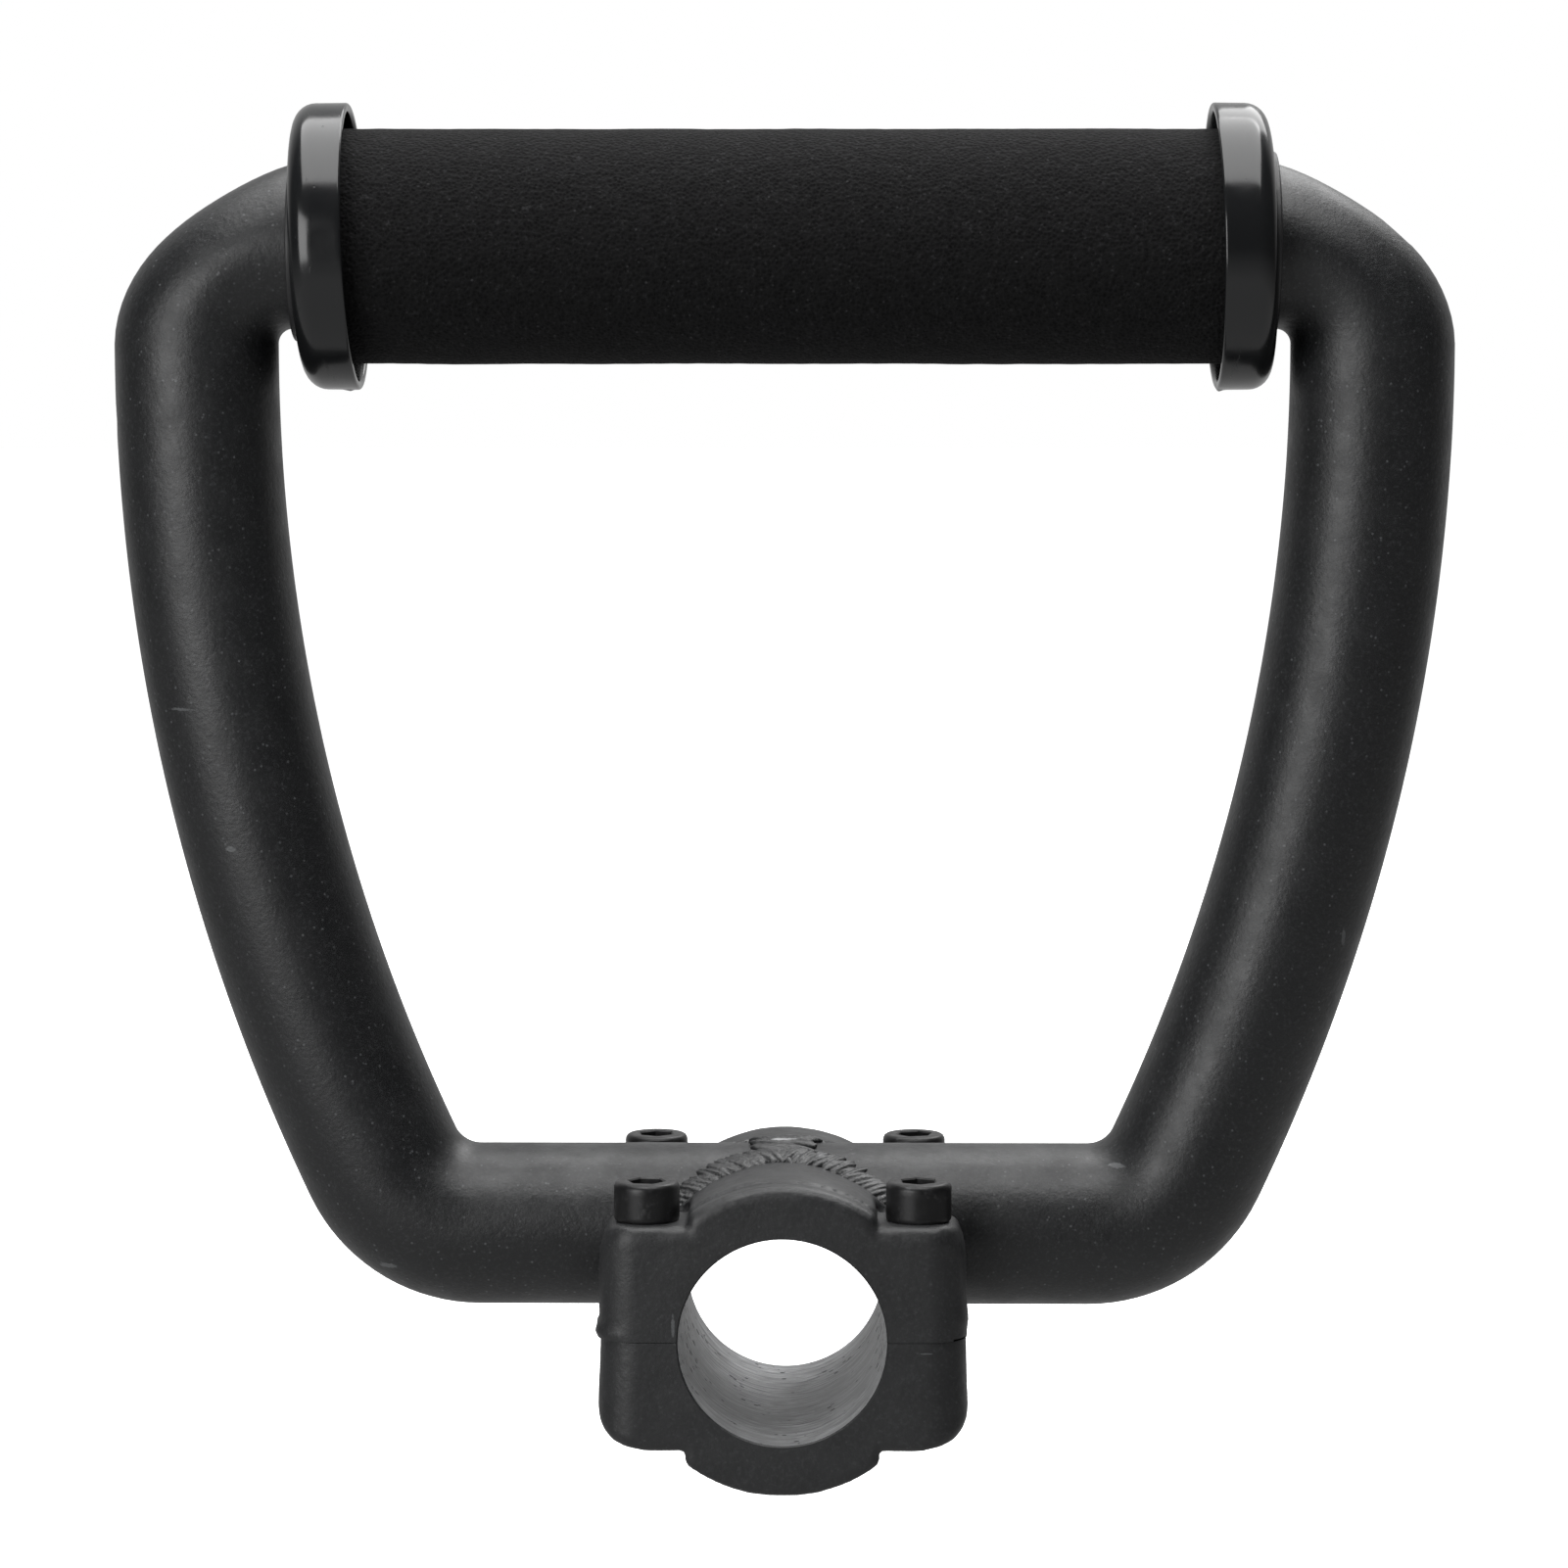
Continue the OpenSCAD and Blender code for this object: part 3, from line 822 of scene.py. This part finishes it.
def build_welds(material):
    """A bead round each tube end, and one over the gap between the two ends."""
    rng = np.random.default_rng(7)
    top_angle = math.acos((BARREL_R - TUBE_Z) / TUBE_R)
    end_angle = math.radians(148)
    for side, name in ((-1, "left"), (1, "right")):
        scales = []
        for face in (1, -1):
            angles = np.linspace(top_angle, end_angle, 200)
            path = even_steps([seam_point(a, side, face) for a in angles], 0.9)
            scales += bead(path, (0.62, 3.5, 1.05), 0.35 * side * face, 0.42, rng)
        build_weld(f"weld_bead_{name}", f"weld_{name}", scales, material)
    reach = top_angle + 0.04
    arc = [(0.0, TUBE_R * math.sin(a), TUBE_Z + TUBE_R * math.cos(a)) for a in np.linspace(-reach, reach, 80)]
    scales = bead(even_steps(arc, 0.9), (0.65, 5.4, 1.0), 0.25, 0.2, rng)
    build_weld("weld_bead_crown", "weld_crown", scales, material)


# ---- screws ----

SCREW_TURNS = (0.35, 1.1, 0.1, 0.8)          # how far each was left turned, in radians


def screw_rings(segments):
    """Rings of an M6 socket screw from its tip up to the bottom of its socket."""
    turn = np.linspace(0, 2 * math.pi, segments, endpoint=False)
    hexagon = 2.5 / np.cos((turn + math.pi / 6) % (math.pi / 3) - math.pi / 6)
    pitch, major, minor, shank = 1.0, 2.97, 2.42, 29.9
    round_ring = np.ones(segments)
    rings = [(0.3 * round_ring, -30.0), (2.2 * round_ring, -30.0), (2.4 * round_ring, -shank + 0.15)]
    thread_top = -5.5
    for z in np.arange(-shank + 0.4, thread_top, pitch / 8):
        phase = (z / pitch - turn / (2 * math.pi)) % 1.0
        flank = np.clip(1.6 * (1 - np.abs(2 * phase - 1)) - 0.3, 0, 1)
        fade = min(1.0, (z + shank) / 1.5)
        rings.append((minor + (major - minor) * flank * fade, z))
    rings += [(2.98 * round_ring, thread_top + 0.2), (2.98 * round_ring, -0.4), (3.2 * round_ring, 0.0)]
    head_r, head_h, socket = 5.05, 6.0, 3.0
    for r, z in (
        (head_r - 0.45, 0.0), (head_r - 0.12, 0.1), (head_r, 0.42), (head_r, 0.8), (head_r, 2.4),
        (head_r, 4.3), (head_r, head_h - 0.95), (head_r - 0.07, head_h - 0.62),
        (head_r - 0.28, head_h - 0.24), (head_r - 0.6, head_h - 0.05),
        (head_r - 0.9, head_h), (head_r - 1.3, head_h), (3.25, head_h),
    ):
        rings.append((r * round_ring, z))
    for r, z in ((hexagon + 0.22, head_h), (hexagon, head_h - 0.22), (hexagon, head_h - socket)):
        rings.append((r, z))
    rings += [(1.9 * round_ring, head_h - socket - 0.1), (0.2 * round_ring, head_h - socket - 0.9)]
    return turn, rings


def build_screws(material):
    segments = 48
    turn, rings = screw_rings(segments)
    points = np.array([
        (r * math.cos(t), r * math.sin(t), z) for ring, z in rings for r, t in zip(ring, turn)
    ])
    faces = grid_faces(len(rings), segments)
    faces.append(list(range(segments)))
    faces.append([(len(rings) - 1) * segments + k for k in range(segments)])
    for index, (node, body) in enumerate(SCREWS.items()):
        centre = joint_mm(body.replace("bolt", "screw") + "_turn")
        c, s = math.cos(SCREW_TURNS[index]), math.sin(SCREW_TURNS[index])
        spin = np.array([[c, -s, 0], [s, c, 0], [0, 0, 1]])
        piece = make_mesh(node.replace("screw", "socket_screw"), points @ spin.T + centre, faces)
        finish_piece(piece, body, [material], [node], sharp=42)


# ---- roller grip ----


def build_foam(material):
    """Firm foam sleeve on the core, with rounded ends and a slightly wavy skin."""
    inner, outer, half = CORE_HIGH[1], FOAM_HIGH[1], FOAM_HIGH[0]
    corners = [(-half, inner, 0.0), (-half, outer, 0.8), (half, outer, 0.8), (half, inner, 0.0)]
    outline = rounded_loop(corners, 0.75, 4)
    rings = lathe_points(outline, 168)
    points = rings.reshape(-1, 3)
    radius = np.hypot(points[:, 1], points[:, 2] - GRIP_Z)
    skin = np.clip((radius - outer + 0.6) / 0.4, 0, 1)
    wave = rough(points, 11.0, 0.10) + rough(points, 2.2, 0.05, 5.0) - 0.06
    out = np.stack([0 * radius, points[:, 1] / radius, (points[:, 2] - GRIP_Z) / radius], axis=1)
    points = points + out * (wave * skin)[:, None]
    sleeve = make_mesh("foam_sleeve", points, grid_faces(len(outline), 168, closed=True))
    finish_piece(sleeve, "grip", [material], ["foam_grip"], sharp=60)


def build_collar(side, name, tilt, material):
    """Cup with a rounded outer face, a slight draft and a thin lip, pressed on a little askew."""
    inner, outer = CORE_HIGH[1], COLLAR_HIGH[1]
    face, lip = COLLAR_HIGH[0], COLLAR_LOW[0]
    web = face - 3.0
    corners = [
        (face, inner, 0.3), (face, outer - 0.1, 3.4), (lip, outer, 0.45), (lip, outer - 1.35, 0.45),
        (web, outer - 1.7, 0.8), (web, inner, 0.0),
    ]
    outline = rounded_loop(corners, 0.6, 8)
    rings = lathe_points(outline, 144, side)
    points = rings.reshape(-1, 3)
    arm = points - (side * (face - 1.5), 0, GRIP_Z)
    lean = math.radians(tilt)
    radius = np.hypot(arm[:, 1], arm[:, 2])
    loose = np.clip((radius - inner - 0.3) / 3.0, 0, 1)
    points[:, 0] -= arm[:, 2] * math.sin(lean) * loose
    nub = np.exp(-((points[:, 0] - side * (lip + 1.0)) / 0.5) ** 2 - ((points[:, 1] + 0.5) / 0.6) ** 2)
    points[:, 2] -= 0.45 * nub * (arm[:, 2] < -outer + 0.7)
    piece = make_mesh(name, points, grid_faces(len(outline), 144, closed=True))
    node = "end_collar_left" if side < 0 else "end_collar_right"
    finish_piece(piece, "grip", [material], [node], sharp=50)


def build_bush(side, name, material):
    """Flanged bush in the end of the core, turning on the tube."""
    bore, sleeve, flange = TUBE_R + 0.05, TUBE_R + 1.05, BUSH_HIGH[1]
    start, face, end = BUSH_LOW[0], CORE_HIGH[0], BUSH_HIGH[0]
    corners = [
        (start, bore, 0.2), (start, sleeve, 0.3), (face, sleeve, 0.0), (face, flange, 0.15),
        (end, flange, 0.35), (end, bore, 0.25),
    ]
    outline = rounded_loop(corners, 1.0, 4)
    points = lathe_points(outline, 96, side).reshape(-1, 3)
    piece = make_mesh(name, points, grid_faces(len(outline), 96, closed=True))
    node = "bush_left" if side < 0 else "bush_right"
    finish_piece(piece, "grip", [material], [node], sharp=40)


def build_core(material):
    """Plain sleeve inside the foam, which runs from one collar's face to the other's."""
    bore, outer, half = TUBE_R + 1.05, CORE_HIGH[1], CORE_HIGH[0]
    corners = [(-half, bore, 0.3), (-half, outer, 0.3), (half, outer, 0.3), (half, bore, 0.3)]
    outline = rounded_loop(corners, 2.5, 3)
    points = lathe_points(outline, 96).reshape(-1, 3)
    piece = make_mesh("core_sleeve", points, grid_faces(len(outline), 96, closed=True))
    finish_piece(piece, "grip", [material], ["grip_core"], sharp=40)


# ---- studio ----

FLOOR_GLOW = 0.93
CAMERA_AT = (0.007, -0.752, 0.157)
FRAME_WIDTH = 0.246
AIM_HIGH = 0.0008
FLOOR_GAP = 0.0005


def aim(piece, target):
    direction = Vector(target) - piece.location
    piece.rotation_euler = direction.to_track_quat("-Z", "Y").to_euler()


def softbox(name, place, target, size_x, size_y, radiance):
    """Rectangular area light of a given brightness."""
    light = bpy.data.lights.new(name, "AREA")
    light.shape = "RECTANGLE"
    light.size, light.size_y = size_x, size_y
    light.energy = radiance * math.pi * size_x * size_y
    lamp = bpy.data.objects.new(name, light)
    lamp.location = place
    aim(lamp, target)
    bpy.context.scene.collection.objects.link(lamp)


def build_studio():
    scene = bpy.context.scene
    scene.view_settings.view_transform = "Standard"
    low, high = cad_box
    target = (0.0, 0.0, (low[2] + high[2]) / 2 + AIM_HIGH)
    camera_data = bpy.data.cameras.new("camera")
    camera = bpy.data.objects.new("camera", camera_data)
    camera.location = CAMERA_AT
    aim(camera, target)
    distance = (Vector(CAMERA_AT) - Vector(target)).length
    camera_data.sensor_width = 36.0
    camera_data.lens = camera_data.sensor_width * distance / FRAME_WIDTH
    scene.collection.objects.link(camera)
    scene.camera = camera

    half = 6.0
    corners = [(-half, -half, 0), (half, -half, 0), (half, half, 0), (-half, half, 0)]
    floor = make_mesh("studio_floor", np.array(corners) / MM, [(0, 1, 2, 3)])
    if floor.data.polygons[0].normal.z < 0:
        floor.data.flip_normals()
    floor.location.z = low[2] - joint("cap_open")["range_m"][1] - FLOOR_GAP
    floor.data.materials.append(floor_material())
    floor.visible_diffuse = False
    floor.visible_glossy = False

    softbox("overhead_box", (0.0, -0.05, 0.87), (0.0, -0.05, 0.0), 0.95, 1.05, 4.6)
    softbox("front_left_box", (-0.62, -0.84, 0.24), (0.0, 0.0, 0.09), 0.72, 0.62, 4.8)
    softbox("rear_right_box", (0.40, 0.72, 0.90), (0.0, 0.0, 0.09), 0.60, 0.60, 3.2)
    build_world(scene)


def build_world(scene):
    """White studio for the camera. The object sees a pale wall behind it, a pale floor and dark sides."""
    sides, wall, ground = 0.05, 0.50, 0.45
    world = bpy.data.worlds.new("studio")
    scene.world = world
    world.use_nodes = True
    tree = world.node_tree

    def joined(kind, *inputs, **settings):
        made = tree.nodes.new(kind)
        for key, value in settings.items():
            setattr(made, key, value)
        for socket, value in zip(made.inputs, inputs):
            if isinstance(value, bpy.types.NodeSocket):
                tree.links.new(value, socket)
            else:
                socket.default_value = value
        return made.outputs

    direction = joined("ShaderNodeTexCoord")["Generated"]
    towards = joined("ShaderNodeSeparateXYZ", direction)
    behind = joined("ShaderNodeMapRange", towards["Y"], 0.2, 0.75, 0.0, wall)[0]
    below = joined("ShaderNodeMapRange", towards["Z"], -0.05, -0.45, 0.0, ground)[0]
    glow = joined("ShaderNodeMath", behind, below, operation="MAXIMUM")[0]
    glow = joined("ShaderNodeMath", glow, sides, operation="ADD")[0]
    seen = joined("ShaderNodeLightPath")["Is Camera Ray"]
    glow = joined("ShaderNodeMath", glow, seen, operation="MAXIMUM")[0]
    tree.links.new(glow, tree.nodes["Background"].inputs["Strength"])
    tree.nodes["Background"].inputs["Color"].default_value = (1.0, 1.0, 1.0, 1.0)


# ---- make everything ----

build_studio()

# Scuffs, and smoother spots whose pale colour is a painted glint: centre and half sizes
LIMB_SCUFFS = [
    ((-94.0, -12.0, 95.6), (3.0, 3.0, 0.3)), ((-85.5, -12.0, 74.0), (0.9, 3.0, 0.5)),
    ((87.0, -10.0, 60.0), (0.4, 3.0, 1.6)), ((-97.0, -6.0, 170.0), (1.2, 4.0, 0.8)),
    ((-62.0, -9.0, 8.0), (1.6, 4.0, 0.5)), ((52.0, -9.0, 24.0), (1.5, 4.0, 0.4)),
]
CLAMP_SCUFFS = [((-16.7, -28.5, 2.6), (0.3, 1.0, 2.0)), ((22.0, -28.5, -1.6), (1.2, 1.0, 0.12))]
WELD_SCUFFS = [((6.0, -6.0, 25.0), (1.0, 2.0, 1.0))]
# Spot on the crown's top: smoother finish, and a pale colour that is a painted glint.
WELD_GLINT = [((-0.6, -1.5, 26.4), (2.8, 0.9, 1.2))]

tube_coat = coat(
    "tube_coat", base=(0.0070, 0.0074, 0.0080), dust_and_sheen_colour=(0.050, 0.051, 0.052), gloss=0.43,
    peel_mm=1.0, peel_depth=0.06, speck=0.75, dust_and_sheen_reach=62.0, scuffs=LIMB_SCUFFS,
)
cast_coat = coat(
    "cast_coat", base=(0.0135, 0.0139, 0.0146), dust_and_sheen_colour=(0.040, 0.041, 0.042), gloss=0.47,
    peel_mm=0.9, peel_depth=0.05, speck=0.25, dust_and_sheen_reach=30.0, scuffs=CLAMP_SCUFFS,
)
weld_coat = coat(
    "weld_coat", base=(0.0095, 0.0098, 0.0104), dust_and_sheen_colour=(0.055, 0.056, 0.057), gloss=0.38,
    peel_mm=0.7, peel_depth=0.11, speck=0.3, dust_and_sheen_reach=30.0, scuffs=WELD_SCUFFS, glint_spots=WELD_GLINT,
)
bored = bare_metal()

build_tube(tube_coat)
saddle_hole = [(5.0, EAR_TOP + 1.3), (3.3, EAR_TOP - 0.4), (3.3, -2.0)]
build_casting("saddle_cast", "clamp_saddle", "frame", 1, saddle_distance, saddle_hole, [cast_coat, bored])
cap_hole = [(3.3, 2.0), (3.3, -0.3), (3.05, -0.55), (3.05, -14.1)]
build_casting("cap_cast", "clamp_cap", "cap", -1, cap_distance, cap_hole, [cast_coat, bored])
build_welds(weld_coat)
build_screws(black_oxide())
nylon = core_plastic()
build_core(nylon)
build_foam(foam())
glossy = collar_plastic()
build_collar(-1, "collar_left", 2.0, glossy)
build_collar(1, "collar_right", 1.4, glossy)
build_bush(-1, "bush_ring_left", nylon)
build_bush(1, "bush_ring_right", nylon)
